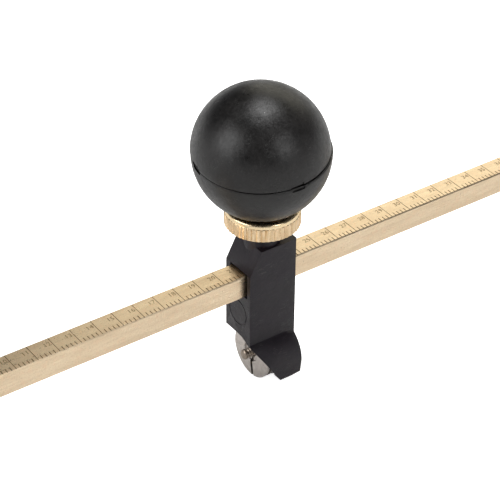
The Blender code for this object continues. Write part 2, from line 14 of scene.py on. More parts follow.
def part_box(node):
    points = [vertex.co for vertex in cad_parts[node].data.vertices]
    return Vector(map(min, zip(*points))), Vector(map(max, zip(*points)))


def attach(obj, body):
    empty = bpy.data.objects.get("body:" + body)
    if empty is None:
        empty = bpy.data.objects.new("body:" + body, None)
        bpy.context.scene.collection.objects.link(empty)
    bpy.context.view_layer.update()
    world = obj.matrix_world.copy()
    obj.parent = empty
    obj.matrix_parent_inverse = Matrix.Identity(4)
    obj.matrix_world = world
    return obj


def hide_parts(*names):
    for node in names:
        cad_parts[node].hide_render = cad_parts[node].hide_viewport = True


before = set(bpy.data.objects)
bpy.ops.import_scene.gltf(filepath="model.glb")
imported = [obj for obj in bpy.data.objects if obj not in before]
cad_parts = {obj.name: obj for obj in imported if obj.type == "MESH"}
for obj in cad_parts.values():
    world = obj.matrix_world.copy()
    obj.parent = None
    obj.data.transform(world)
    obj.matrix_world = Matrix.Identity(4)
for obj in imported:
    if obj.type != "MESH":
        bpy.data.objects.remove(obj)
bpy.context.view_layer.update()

MM = 0.001
TURN = 2 * math.pi


# ---- places, from the frame -------------------------------------------------------

def middle(node):
    """The centre of a node's box, in metres."""
    low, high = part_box(node)
    return (low + high) / 2


def local_box(node, origin):
    """A node's lowest and highest corner about an origin, in millimetres."""
    low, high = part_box(node)
    return (low - origin) / MM, (high - origin) / MM


HEAD = Vector((middle("clamp_spindle").x, 0, middle("scaled_bar").z))
TURRET = Vector((HEAD.x, 0, middle("wheel_turret").z))
PIVOT = Vector((middle("pivot_bush_lower").x, 0, 0))

BAR_LOW, BAR_HIGH = local_box("scaled_bar", HEAD)
HEAD_LOW, HEAD_HIGH = local_box("head_body", HEAD)
NUT_LOW, NUT_HIGH = local_box("lock_nut", HEAD)
BAR_HALF = (BAR_HIGH.z - BAR_LOW.z) / 2
PIVOT_X = (PIVOT.x - HEAD.x) / MM
TURRET_DROP = (HEAD.z - TURRET.z) / MM

# the ball's two halves: radius, and centre off the spindle
UPPER_RADIUS, LOWER_RADIUS = 14.6, 14.73
BALL_TOP = local_box("ball_upper", HEAD)[1].z
UPPER_CENTRE = Vector((-0.47, 0.34, BALL_TOP - UPPER_RADIUS))
LOWER_CENTRE = Vector((-0.28, 0.20, BALL_TOP - UPPER_RADIUS))


# ---- mesh helpers -----------------------------------------------------------------

def add_piece(name, bm, material, origin, body, slot, *nodes, angle=32, cut_materials=()):
    """Makes a finished object from a bmesh in millimetres about origin."""
    bmesh.ops.recalc_face_normals(bm, faces=bm.faces)
    bmesh.ops.scale(bm, vec=(MM, MM, MM), verts=bm.verts)
    bmesh.ops.translate(bm, vec=origin, verts=bm.verts)
    mesh = bpy.data.meshes.new(name)
    bm.to_mesh(mesh)
    bm.free()
    for each in (material, *cut_materials):
        mesh.materials.append(each)
    mesh.shade_smooth()
    mesh.set_sharp_from_angle(angle=math.radians(angle))
    obj = bpy.data.objects.new(name, mesh)
    bpy.context.scene.collection.objects.link(obj)
    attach(obj, body)
    if nodes:
        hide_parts(*nodes)


def rounded(points, radius, count=4, closed=False):
    """The outline with each corner rounded, as far as its sides leave room."""
    made = []
    last = len(points) - 1
    for i, point in enumerate(points):
        if not closed and i in (0, last):
            made.append(tuple(point))
            continue
        here = Vector(point)
        back = Vector(points[i - 1]) - here
        ahead = Vector(points[(i + 1) % len(points)]) - here
        reach = min(radius, 0.45 * back.length, 0.45 * ahead.length)
        start = here + back.normalized() * reach
        end = here + ahead.normalized() * reach
        for k in range(count):
            t = k / (count - 1)
            made.append(tuple(start * (1 - t) ** 2 + here * 2 * t * (1 - t) + end * t ** 2))
    return made


def lathe(profile, steps=96, shape=None, closed=False):
    """Turns (radius, height) points about Z; shape(angle, r, z) may move each point."""
    bm = bmesh.new()
    rings = []
    for r, z in profile:
        if r < 1e-6:
            rings.append([bm.verts.new((0, 0, z))])
            continue
        ring = []
        for i in range(steps):
            angle = TURN * i / steps
            rr, zz = shape(angle, r, z) if shape else (r, z)
            ring.append(bm.verts.new((rr * math.cos(angle), rr * math.sin(angle), zz)))
        rings.append(ring)
    pairs = list(zip(rings, rings[1:]))
    if closed:
        pairs.append((rings[-1], rings[0]))
    for near, far in pairs:
        for i in range(steps):
            j = i + 1
            corners = [near[i % len(near)], near[j % len(near)],
                       far[j % len(far)], far[i % len(far)]]
            corners = list(dict.fromkeys(corners))
            if len(corners) > 2:
                bm.faces.new(corners)
    return bm


def along_bar(bm):
    """Lays a turned shape's axis from +Z onto +X."""
    bmesh.ops.rotate(bm, verts=bm.verts, matrix=Matrix.Rotation(math.pi / 2, 3, "Y"))
    return bm


def block(low, high):
    """A box between two corners."""
    bm = bmesh.new()
    bmesh.ops.create_cube(bm, size=1.0)
    low, high = Vector(low), Vector(high)
    bmesh.ops.scale(bm, vec=high - low, verts=bm.verts)
    bmesh.ops.translate(bm, vec=(low + high) / 2, verts=bm.verts)
    return bm


def prism(outline, start, end, axis="Y"):
    """An outline of two-coordinate points extruded along Y, or along X, from start to end."""
    bm = bmesh.new()
    if axis == "Y":
        corners = [(a, start, b) for a, b in outline]
        along = Vector((0, end - start, 0))
    else:
        corners = [(start, a, b) for a, b in outline]
        along = Vector((end - start, 0, 0))
    face = bm.faces.new([bm.verts.new(c) for c in corners])
    grown = bmesh.ops.extrude_face_region(bm, geom=[face])
    verts = [v for v in grown["geom"] if isinstance(v, bmesh.types.BMVert)]
    bmesh.ops.translate(bm, vec=along, verts=verts)
    return bm


def rod(radius, low, high, steps=64):
    """A solid cylinder about Z."""
    return lathe([(0, low), (radius, low), (radius, high), (0, high)], steps)


def arc(centre, radius, start, end, count):
    """Points on a circle from start to end, in degrees."""
    step = (end - start) / (count - 1)
    angles = [math.radians(start + step * i) for i in range(count)]
    return [(centre[0] + radius * math.cos(a), centre[1] + radius * math.sin(a))
            for a in angles]


def to_mesh(bm):
    """A scratch mesh of a bmesh, which is freed."""
    mesh = bpy.data.meshes.new("shape")
    bmesh.ops.recalc_face_normals(bm, faces=bm.faces)
    bm.to_mesh(mesh)
    bm.free()
    return mesh


def combine(bm, *tools):
    """Applies (operation, bmesh) tools in turn; (operation, bmesh, material) marks its cut."""
    base = bpy.data.objects.new("base", to_mesh(bm))
    base.data.materials.append(None)
    bpy.context.scene.collection.objects.link(base)
    made = [base]
    for operation, tool_bm, *marked in tools:
        tool = bpy.data.objects.new("tool", to_mesh(tool_bm))
        bpy.context.scene.collection.objects.link(tool)
        made.append(tool)
        mod = base.modifiers.new(operation, "BOOLEAN")
        mod.operation = operation
        mod.solver = "EXACT"
        mod.object = tool
        if marked:
            tool.data.materials.append(marked[0])
            mod.material_mode = "TRANSFER"
    return finish_modifiers(base, made)


def finish_modifiers(base, made):
    """The bmesh of an object with its modifiers applied; the scratch objects go."""
    graph = bpy.context.evaluated_depsgraph_get()
    graph.update()
    result = bmesh.new()
    result.from_object(base, graph)
    for obj in made:
        mesh = obj.data
        bpy.data.objects.remove(obj)
        bpy.data.meshes.remove(mesh)
    return result


def soften(bm, width, segments=3, angle=28):
    """Rounds every edge sharper than angle."""
    base = bpy.data.objects.new("base", to_mesh(bm))
    bpy.context.scene.collection.objects.link(base)
    mod = base.modifiers.new("soften", "BEVEL")
    mod.width = width
    mod.segments = segments
    mod.limit_method = "ANGLE"
    mod.angle_limit = math.radians(angle)
    mod.miter_outer = "MITER_ARC"
    mod.use_clamp_overlap = True
    return finish_modifiers(base, [base])


def thread_rows(radius, low, high, pitch, per_turn=6):
    """Profile points close enough together to carry a thread."""
    count = round((high - low) / pitch * per_turn)
    return [(radius, low + (high - low) * i / count) for i in range(count + 1)]


def thread_shape(radius, low, high, pitch, depth):
    """Cuts a V thread, with a short run-out at both ends, into thread_rows."""
    def shape(angle, r, z):
        if abs(r - radius) > 1e-6 or not low <= z <= high:
            return r, z
        wave = abs(2 * ((z / pitch - angle / TURN) % 1) - 1)
        fade = max(0.0, min(1.0, (z - low) / pitch, (high - z) / pitch))
        return r - depth * wave * fade, z
    return shape


# ---- material helpers -------------------------------------------------------------

def new_material(name, colour, roughness, metallic=0.0, specular=0.5):
    """A Principled material, its node tree and its shader."""
    mat = bpy.data.materials.new(name)
    mat.use_nodes = True
    shader = mat.node_tree.nodes["Principled BSDF"]
    shader.inputs["Base Color"].default_value = (*colour, 1.0)
    shader.inputs["Roughness"].default_value = roughness
    shader.inputs["Metallic"].default_value = metallic
    shader.inputs["Specular IOR Level"].default_value = specular
    return mat, mat.node_tree, shader


def add_node(tree, kind, inputs=None, **settings):
    """A shader node; an input that is another node's socket is linked."""
    node = tree.nodes.new(kind)
    for key, value in settings.items():
        setattr(node, key, value)
    for key, value in (inputs or {}).items():
        if isinstance(value, bpy.types.NodeSocket):
            tree.links.new(value, node.inputs[key])
        else:
            node.inputs[key].default_value = value
    return node


def millimetres(tree, stretch=(1, 1, 1), turn=(0, 0, 0)):
    """Object coordinates in millimetres, each axis times stretch."""
    coords = add_node(tree, "ShaderNodeTexCoord")
    scale = [s / MM for s in stretch]
    return add_node(tree, "ShaderNodeMapping", {"Vector": coords.outputs["Object"],
                                                "Scale": scale, "Rotation": turn}
                    ).outputs["Vector"]


def noise(tree, vector, scale, detail=3.0, roughness=0.55, distortion=0.0):
    """Noise between 0 and 1, about `scale` bumps to the unit of vector."""
    return add_node(tree, "ShaderNodeTexNoise",
                    {"Vector": vector, "Scale": scale, "Detail": detail,
                     "Roughness": roughness, "Distortion": distortion}).outputs["Fac"]


def remap(tree, value, low, high, new_low, new_high):
    """The value taken from low..high to new_low..new_high, clamped."""
    return add_node(tree, "ShaderNodeMapRange",
                    {"Value": value, "From Min": low, "From Max": high,
                     "To Min": new_low, "To Max": new_high}).outputs["Result"]


def mix_colour(tree, factor, first, second):
    """Mixes two colours, each a socket or three numbers."""
    node = add_node(tree, "ShaderNodeMix", data_type="RGBA", blend_type="MIX")
    for key, value in ((0, factor), (6, first), (7, second)):
        if isinstance(value, bpy.types.NodeSocket):
            tree.links.new(value, node.inputs[key])
        elif key:
            node.inputs[key].default_value = (*value, 1.0)
        else:
            node.inputs[key].default_value = value
    return node.outputs[2]


def maths(tree, operation, first, second=0.0):
    """A Math node on sockets or numbers."""
    node = add_node(tree, "ShaderNodeMath", operation=operation)
    for key, value in ((0, first), (1, second)):
        if isinstance(value, bpy.types.NodeSocket):
            tree.links.new(value, node.inputs[key])
        else:
            node.inputs[key].default_value = value
    return node.outputs[0]


def bump(tree, height, depth, normal=None):
    """A bump of that depth in millimetres."""
    inputs = {"Height": height, "Distance": depth * MM, "Strength": 1.0}
    if normal:
        inputs["Normal"] = normal
    return add_node(tree, "ShaderNodeBump", inputs).outputs["Normal"]


def specks(tree, vector, spacing, size, share):
    """1 in small round specks, about `spacing` apart, in that share of the cells."""
    cells = add_node(tree, "ShaderNodeTexVoronoi", {"Vector": vector, "Scale": 1 / spacing,
                                                    "Randomness": 1.0})
    near = remap(tree, cells.outputs["Distance"], size / spacing, 0.4 * size / spacing, 0.0, 1.0)
    pick = add_node(tree, "ShaderNodeSeparateColor", {"Color": cells.outputs["Color"]})
    chosen = maths(tree, "LESS_THAN", pick.outputs[0], share)
    return maths(tree, "MULTIPLY", near, chosen)


def scratches(tree, spacing, stretch, turn, share=0.62):
    """Thin bright lines: the ridge of a noise stretched along one direction."""
    vector = millimetres(tree, stretch, turn)
    value = noise(tree, vector, 1 / spacing, 2.0, 0.5, 0.15)
    ridge = maths(tree, "ABSOLUTE", maths(tree, "SUBTRACT", value, 0.5))
    line = remap(tree, ridge, 0.0, 0.012, 1.0, 0.0)
    patch = noise(tree, millimetres(tree), 0.35, 1.0)
    return maths(tree, "MULTIPLY", line, remap(tree, patch, share, share + 0.08, 0.0, 1.0))


# ---- materials --------------------------------------------------------------------

def moulded_plastic(name, dark, light, rough, grain=0.006, dust=0.06, specular=0.5):
    """Satin black plastic: mottled skin, uneven gloss, soft flow, dust and scuffs."""
    mat, tree, shader = new_material(name, dark, sum(rough) / 2, specular=specular)
    mm = millimetres(tree)
    flow = noise(tree, mm, 0.20, 3.0)
    mottle = noise(tree, mm, 1.3, 4.0, 0.7)
    fine = noise(tree, mm, 5.0, 4.0, 0.65)
    lines = scratches(tree, 0.5, (0.12, 1, 1), (0.3, 0.5, 0.8), 0.55)
    dots = specks(tree, mm, 2.3, 0.15, dust)
    colour = mix_colour(tree, remap(tree, flow, 0.35, 0.65, 0.0, 1.0), dark, light)
    marks = maths(tree, "MAXIMUM", maths(tree, "MULTIPLY", dots, 0.6),
                  maths(tree, "MULTIPLY", lines, 0.10))
    colour = mix_colour(tree, marks, colour, (0.32, 0.31, 0.30))
    tree.links.new(colour, shader.inputs["Base Color"])
    gloss = maths(tree, "ADD", maths(tree, "MULTIPLY", flow, 0.6),
                  maths(tree, "MULTIPLY", mottle, 0.75))
    tree.links.new(remap(tree, gloss, 0.45, 0.90, rough[0], rough[1]), shader.inputs["Roughness"])
    soft = bump(tree, flow, 0.16)
    skin = bump(tree, mottle, 3 * grain, soft)
    skin = bump(tree, fine, grain, skin)
    tree.links.new(bump(tree, lines, -0.008, skin), shader.inputs["Normal"])
    return mat


def brass(name, pale, deep, rough, brush=(0.05, 1, 1), line_scale=3.0, streak=0.3,
          stain=0.35, mottle=0.5, depth=0.006):
    """Brass with drawing or turning lines along the short side of `brush`, and stains."""
    mat, tree, shader = new_material(name, pale, sum(rough) / 2, metallic=1.0)
    mm = millimetres(tree)
    lines = noise(tree, millimetres(tree, brush), line_scale, 4.0, 0.65)
    broad = noise(tree, millimetres(tree, [max(b, 0.15) for b in brush]), 0.55, 3.0, 0.6)
    cloud = noise(tree, mm, 0.9, 4.0, 0.65)
    speckle = noise(tree, mm, 2.6, 4.0, 0.75)
    colour = mix_colour(tree, remap(tree, broad, 0.35, 0.68, 0.0, stain), pale, deep)
    colour = mix_colour(tree, remap(tree, lines, 0.45, 0.70, 0.0, streak), colour, deep)
    warm = [c * f for c, f in zip(pale, (1.0, 0.86, 0.80))]
    colour = mix_colour(tree, remap(tree, cloud, 0.5, 0.75, 0.0, 0.55), colour, warm)
    colour = mix_colour(tree, remap(tree, speckle, 0.50, 0.68, 0.0, mottle), colour, deep)
    pits = specks(tree, mm, 1.7, 0.13, 0.22)
    colour = mix_colour(tree, maths(tree, "MULTIPLY", pits, 0.75), colour, (0.10, 0.065, 0.03))
    tree.links.new(colour, shader.inputs["Base Color"])
    gloss = maths(tree, "ADD", maths(tree, "MULTIPLY", lines, 0.5),
                  maths(tree, "MULTIPLY", speckle, 0.5))
    tree.links.new(remap(tree, gloss, 0.3, 0.7, rough[0], rough[1]), shader.inputs["Roughness"])
    grooves = bump(tree, lines, depth)
    grain = bump(tree, speckle, depth, grooves)
    tree.links.new(bump(tree, pits, -3 * depth, grain), shader.inputs["Normal"])
    return mat


def plated_steel(name, bright, dull, rough, grain=0.01, worn=0.5):
    """Nickel, zinc plate or steel: cloudy, pitted and lightly scratched."""
    mat, tree, shader = new_material(name, bright, sum(rough) / 2, metallic=1.0)
    mm = millimetres(tree)
    cloud = noise(tree, mm, 0.8, 4.0, 0.65)
    fine = noise(tree, mm, 7.0, 3.0, 0.6)
    lines = scratches(tree, 0.35, (1, 0.15, 0.6), (0.9, 0.2, 0.4), 0.45)
    colour = mix_colour(tree, remap(tree, cloud, 0.35, 0.7, 0.0, worn), bright, dull)
    pits = specks(tree, mm, 1.1, 0.14, 0.25)
    marks = maths(tree, "MAXIMUM", maths(tree, "MULTIPLY", pits, 0.45),
                  maths(tree, "MULTIPLY", lines, 0.4))
    colour = mix_colour(tree, marks, colour, (0.12, 0.10, 0.085))
    tree.links.new(colour, shader.inputs["Base Color"])
    gloss = maths(tree, "ADD", maths(tree, "MULTIPLY", cloud, 0.6),
                  maths(tree, "MULTIPLY", fine, 0.4))
    tree.links.new(remap(tree, gloss, 0.35, 0.65, rough[0], rough[1]),
                   shader.inputs["Roughness"])
    skin = bump(tree, fine, grain)
    tree.links.new(bump(tree, marks, -0.012, skin), shader.inputs["Normal"])
    return mat


def cup_rubber():
    """Matte rubber with a faint bloom and moulding specks."""
    mat, tree, shader = new_material("cup_rubber", (0.02, 0.02, 0.021), 0.6, specular=0.35)
    mm = millimetres(tree)
    bloom = noise(tree, mm, 0.22, 4.0, 0.6)
    fine = noise(tree, mm, 8.0, 3.0, 0.7)
    colour = mix_colour(tree, remap(tree, bloom, 0.42, 0.72, 0.0, 1.0),
                        (0.018, 0.018, 0.019), (0.045, 0.045, 0.044))
    dots = maths(tree, "MULTIPLY", specks(tree, mm, 2.2, 0.12, 0.12), 0.35)
    tree.links.new(mix_colour(tree, dots, colour, (0.3, 0.29, 0.27)), shader.inputs["Base Color"])
    tree.links.new(remap(tree, bloom, 0.35, 0.7, 0.48, 0.72), shader.inputs["Roughness"])
    tree.links.new(bump(tree, fine, 0.012, bump(tree, bloom, 0.08)), shader.inputs["Normal"])
    return mat


def washer_nylon():
    """Milky nylon, slightly see-through, with a fine grain."""
    mat, tree, shader = new_material("washer_nylon", (0.72, 0.70, 0.64), 0.45)
    mm = millimetres(tree)
    cloud = noise(tree, mm, 0.7, 3.0)
    tree.links.new(mix_colour(tree, cloud, (0.76, 0.74, 0.68), (0.62, 0.60, 0.53)),
                   shader.inputs["Base Color"])
    tree.links.new(remap(tree, cloud, 0.3, 0.7, 0.35, 0.55), shader.inputs["Roughness"])
    tree.links.new(bump(tree, noise(tree, mm, 4.0, 3.0), 0.01), shader.inputs["Normal"])
    shader.inputs["Subsurface Weight"].default_value = 0.15
    shader.inputs["Subsurface Radius"].default_value = (0.001, 0.001, 0.001)
    return mat


BALL_PLASTIC = moulded_plastic("ball_plastic", (0.0034, 0.0030, 0.0028), (0.0075, 0.0064, 0.0062),
                               (0.26, 0.52), grain=0.010, dust=0.14, specular=0.45)
HEAD_PLASTIC = moulded_plastic("head_plastic", (0.0082, 0.0055, 0.0090), (0.0132, 0.0090, 0.0142),
                               (0.32, 0.52), grain=0.010, dust=0.06, specular=0.30)
HUB_PLASTIC = moulded_plastic("hub_plastic", (0.0080, 0.0062, 0.0086), (0.0130, 0.0102, 0.0138),
                              (0.38, 0.55), grain=0.010, dust=0.04)
BAR_BRASS = brass("bar_brass", (0.84, 0.685, 0.485), (0.58, 0.42, 0.265), (0.20, 0.44))
# dark brass for the cut scale lines and ticks: painted shade in the grooves
SHADED_MARK_BRASS = brass("scale_mark_painted_shade", (0.22, 0.145, 0.07), (0.13, 0.085, 0.04), (0.4, 0.6))
# darker brass for the cut numerals: painted shade in the engraved digits
SHADED_NUMERAL_BRASS = brass("numeral_painted_shade", (0.42, 0.31, 0.17), (0.26, 0.18, 0.09), (0.35, 0.55))
# strong vertical streaks along the teeth: partly painted light and shade of the knurl lines, partly
# the brass's own streaking
NUT_BRASS = brass("nut_brass", (0.86, 0.68, 0.45), (0.52, 0.34, 0.17), (0.16, 0.36),
                  brush=(1, 1, 0.12), line_scale=1.7, streak=0.75, stain=0.4, mottle=0.3,
                  depth=0.004)
# paler, smoother brass for the nut's turned top band: a turned finish, its paler colour partly a
# painted highlight
BAND_BRASS_HIGHLIGHT = brass("ring_brass_painted_highlight", (0.90, 0.74, 0.48), (0.70, 0.50, 0.26), (0.20, 0.32),
                   brush=(0.3, 0.3, 1), streak=0.2, stain=0.2, mottle=0.15, depth=0.001)
INSERT_BRASS = brass("insert_brass", (0.80, 0.60, 0.31), (0.62, 0.42, 0.18), (0.25, 0.42),
                     brush=(0.3, 0.3, 1))
TURRET_NICKEL = plated_steel("turret_nickel", (0.60, 0.555, 0.52), (0.40, 0.36, 0.335),
                             (0.34, 0.56), grain=0.016, worn=0.6)
# dark nickel for the driver slot's cut faces: painted shade in the slot
SLOT_SHADE_NICKEL = plated_steel("slot_painted_shade", (0.16, 0.14, 0.12), (0.09, 0.078, 0.065), (0.45, 0.65))
STUD_NICKEL = plated_steel("stud_nickel", (0.36, 0.30, 0.25), (0.20, 0.165, 0.13), (0.30, 0.50))
SPOOL_STEEL = plated_steel("spool_steel", (0.20, 0.18, 0.16), (0.10, 0.09, 0.08), (0.40, 0.60))
SCREW_STEEL = plated_steel("screw_steel", (0.60, 0.60, 0.61), (0.42, 0.42, 0.42), (0.24, 0.42))
WHEEL_CARBIDE = plated_steel("wheel_carbide", (0.42, 0.42, 0.44), (0.27, 0.27, 0.29),
                             (0.18, 0.34), grain=0.004, worn=0.3)
CUP_RUBBER = cup_rubber()
WASHER_NYLON = washer_nylon()


# ---- scaled bar -------------------------------------------------------------------

SCALE_STEP = 5.0          # one centimetre of circle diameter
TICKS_PER_STEP = 5
FIRST_MARK, LAST_MARK = 6, 40
BAR_BEVEL = 0.22
LINE_WIDTH, LINE_DEPTH = 0.15, 0.08
TICK_WIDTH, TICK_DEPTH, TICK_LENGTH = 0.20, 0.10, 1.15
NUMERAL_HEIGHT, NUMERAL_DEPTH = 1.75, 0.09


def groove(x, near, far, width, depth):
    """A V groove across the bar's top face at x, from y near to y far."""
    lift = 0.02
    spread = width * (depth + lift) / depth / 2
    top = BAR_HALF + lift
    return prism([(x - spread, top), (x, BAR_HALF - depth), (x + spread, top)], near, far)


def numeral(value, right, near, height):
    """The bmesh of an engraved number whose lower right corner is at (right, near)."""
    curve = bpy.data.curves.new("numeral", "FONT")
    curve.body = str(value)
    curve.size = height
    curve.align_x = "RIGHT"
    curve.extrude = NUMERAL_DEPTH
    curve.resolution_u = 2
    obj = bpy.data.objects.new("numeral", curve)
    bpy.context.scene.collection.objects.link(obj)
    obj.location = (right, near, BAR_HALF)
    return text_shape(obj)


def text_shape(obj):
    """A text object as a closed bmesh in place."""
    bpy.context.view_layer.update()
    graph = bpy.context.evaluated_depsgraph_get()
    mesh = bpy.data.meshes.new_from_object(obj.evaluated_get(graph))
    bm = bmesh.new()
    bm.from_mesh(mesh)
    bmesh.ops.transform(bm, matrix=obj.matrix_world, verts=bm.verts)
    bmesh.ops.remove_doubles(bm, verts=bm.verts, dist=1e-4)
    curve = obj.data
    bpy.data.objects.remove(obj)
    bpy.data.curves.remove(curve)
    bpy.data.meshes.remove(mesh)
    return bm


def joined(parts):
    """Several bmeshes as one."""
    whole = bmesh.new()
    for part in parts:
        mesh = to_mesh(part)
        whole.from_mesh(mesh)
        bpy.data.meshes.remove(mesh)
    return whole


def make_bar():
    """Square bar with its scale lines, ticks and numerals cut into the top face."""
    bm = block(BAR_LOW, BAR_HIGH)
    bmesh.ops.bevel(bm, geom=bm.edges, offset=BAR_BEVEL, segments=1, affect="EDGES")
    near_edge = -BAR_HALF + 0.16
    lines, numbers = [], []
    for step in range(FIRST_MARK, LAST_MARK):
        x = PIVOT_X + step * SCALE_STEP
        lines.append(groove(x, near_edge, BAR_HALF + 0.1, LINE_WIDTH, LINE_DEPTH))
        for tick in range(1, TICKS_PER_STEP):
            lines.append(groove(x + tick * SCALE_STEP / TICKS_PER_STEP, near_edge,
                                near_edge + TICK_LENGTH, TICK_WIDTH, TICK_DEPTH))
        numbers.append(numeral(step, x - 0.28, 0.15, NUMERAL_HEIGHT))
    # the cut faces of the lines, ticks and numerals take darker brass: painted shade in the
    # engraving
    bm = combine(bm, ("DIFFERENCE", joined(lines), SHADED_MARK_BRASS),
                 ("DIFFERENCE", joined(numbers), SHADED_NUMERAL_BRASS))
    add_piece("engraved_bar", bm, BAR_BRASS, HEAD, "arm", "bar_brass", "scaled_bar",
              angle=25, cut_materials=(SHADED_MARK_BRASS, SHADED_NUMERAL_BRASS))


# ---- cutting head -----------------------------------------------------------------

HEAD_TOP = 8.8
FOOT_BOTTOM = HEAD_LOW.z
HEAD_HALF = 4.5
HOOD_RADIUS, HOOD_Z = 7.4, -20.8
BACK_HOOD_RADIUS, BACK_HOOD_Z = 7.2, -22.2
POCKET_RADIUS, POCKET_BACK = 6.75, 1.6
UNDERSIDE_START = -15.4
FOOT_FRONT = 0.8
FOOT_INSET, FOOT_ROUND = 1.3, 0.9
BACK_TAPER, BACK_NARROWER = 2.4, 0.4
SLOPE_START, SLOPE_REACH = 3.34, -3.3   # the front leans from this height to this x
SLOT_NEAR, SLOT_FAR, SLOT_FLOOR, SLOT_ROOF = -3.4, 2.95, -2.95, 3.3
NECK_RADIUS, NECK_BORE = 4.0, 3.0
AXLE_HOLE, SCREW_HEAD_HOLE, SCREW_HEAD_DEPTH = 1.7, 3.2, 2.2
RING_INNER, RING_OUTER, RING_DEPTH, RING_Z = 3.0, 3.24, 0.16, -8.2   # ejector mark in front


def head_section(half, hood_radius, hood_z):
    """Half of the head's cross-section, (y, z) from the top down to the foot's corner."""
    fold = hood_z + math.sqrt(hood_radius ** 2 - half ** 2)
    reach = math.degrees(math.atan2(fold - hood_z, half))
    flank = arc((0, hood_z), hood_radius, reach, 0, 22)
    corner = arc((hood_radius - FOOT_INSET, FOOT_BOTTOM + FOOT_ROUND), FOOT_ROUND, 0, -90, 8)
    return [(half, HEAD_TOP)] + flank + corner


def loft(sections):
    """Closed body through symmetric sections, each a list of (y, z) at one x."""
    bm = bmesh.new()
    rings = []
    for x, half in sections:
        points = half + [(-y, z) for y, z in reversed(half)]
        rings.append([bm.verts.new((x, y, z)) for y, z in points])
    count = len(rings[0])
    for near, far in zip(rings, rings[1:]):
        for i in range(count):
            j = (i + 1) % count
            bm.faces.new((near[i], near[j], far[j], far[i]))
    bm.faces.new(rings[0])
    bm.faces.new(rings[-1])
    return bm


def make_head():
    """Moulded head: leaning front, bar slot, neck, hood and turret pocket."""
    front, back = HEAD_LOW.x, HEAD_HIGH.x
    before, beyond = front - 1, back + 1    # cutting tools run past the body
    full = head_section(HEAD_HALF, HOOD_RADIUS, HOOD_Z)
    narrow = head_section(HEAD_HALF - BACK_NARROWER, BACK_HOOD_RADIUS, BACK_HOOD_Z)
    bm = loft([(front, full), (back - BACK_TAPER, full), (back, narrow)])
    chamfer = [(before, 1.325), (front, SLOPE_START), (SLOPE_REACH, HEAD_TOP),
               (-2.79, HEAD_TOP + 1), (before, HEAD_TOP + 1)]
    slope = (FOOT_FRONT - front) / (FOOT_BOTTOM - UNDERSIDE_START)
    under = [(before, UNDERSIDE_START - 1 / slope), (FOOT_FRONT - slope, FOOT_BOTTOM - 1),
             (before, FOOT_BOTTOM - 1)]
    far_corner = [(HEAD_HALF - 1.4, UNDERSIDE_START - 2), (HEAD_HALF + 1, UNDERSIDE_START - 2),
                  (HEAD_HALF + 1, UNDERSIDE_START + 1.5), (HEAD_HALF, UNDERSIDE_START + 1.2)]
    counterbore = back - SCREW_HEAD_DEPTH
    pocket = lathe([(0, before), (POCKET_RADIUS, before), (POCKET_RADIUS, POCKET_BACK),
                    (AXLE_HOLE, POCKET_BACK), (AXLE_HOLE, counterbore),
                    (SCREW_HEAD_HOLE, counterbore), (SCREW_HEAD_HOLE, beyond), (0, beyond)], 97)
    along_bar(pocket)
    bmesh.ops.translate(pocket, vec=(0, 0, -TURRET_DROP), verts=pocket.verts)
    ring = lathe([(RING_INNER, before), (RING_OUTER, before), (RING_OUTER, front + RING_DEPTH),
                  (RING_INNER, front + RING_DEPTH)], 60, closed=True)
    along_bar(ring)
    bmesh.ops.translate(ring, vec=(0, 0, RING_Z), verts=ring.verts)
    bm = combine(
        bm,
        ("DIFFERENCE", prism(chamfer, -10, 10)),
        ("UNION", rod(NECK_RADIUS, 5.0, HEAD_HIGH.z, 63)),
        ("DIFFERENCE", prism(under, -10, 10)),
        ("DIFFERENCE", prism(far_corner, before, front + 2.5, "X")),
        ("DIFFERENCE", block((before, 0, -TURRET_DROP - POCKET_RADIUS),
                             (POCKET_BACK, 10, -TURRET_DROP + POCKET_RADIUS))),
        ("DIFFERENCE", pocket),
        ("DIFFERENCE", block((before, SLOT_NEAR, SLOT_FLOOR), (beyond, SLOT_FAR, SLOT_ROOF))),
        ("DIFFERENCE", rod(NECK_BORE, 2.0, HEAD_HIGH.z + 1, 61)),
        ("DIFFERENCE", ring),
    )
    bmesh.ops.dissolve_limit(bm, angle_limit=math.radians(0.5), verts=bm.verts, edges=bm.edges)
    bm = soften(bm, 0.2)
    add_piece("moulded_head", bm, HEAD_PLASTIC, HEAD, "head", "head_plastic",
              "head_body")


# ---- lock nut and ball ------------------------------------------------------------

KNURL_TEETH = 48
KNURL_DEPTH = 0.24
KNURL_LAND, KNURL_FLANK = 0.42, 0.40   # flat crest and sloping side, as shares of half a tooth
NUT_BORE = 2.1
NUT_SHOULDER = 0.35
PLAIN_BAND = 0.95         # the smooth band over the knurl


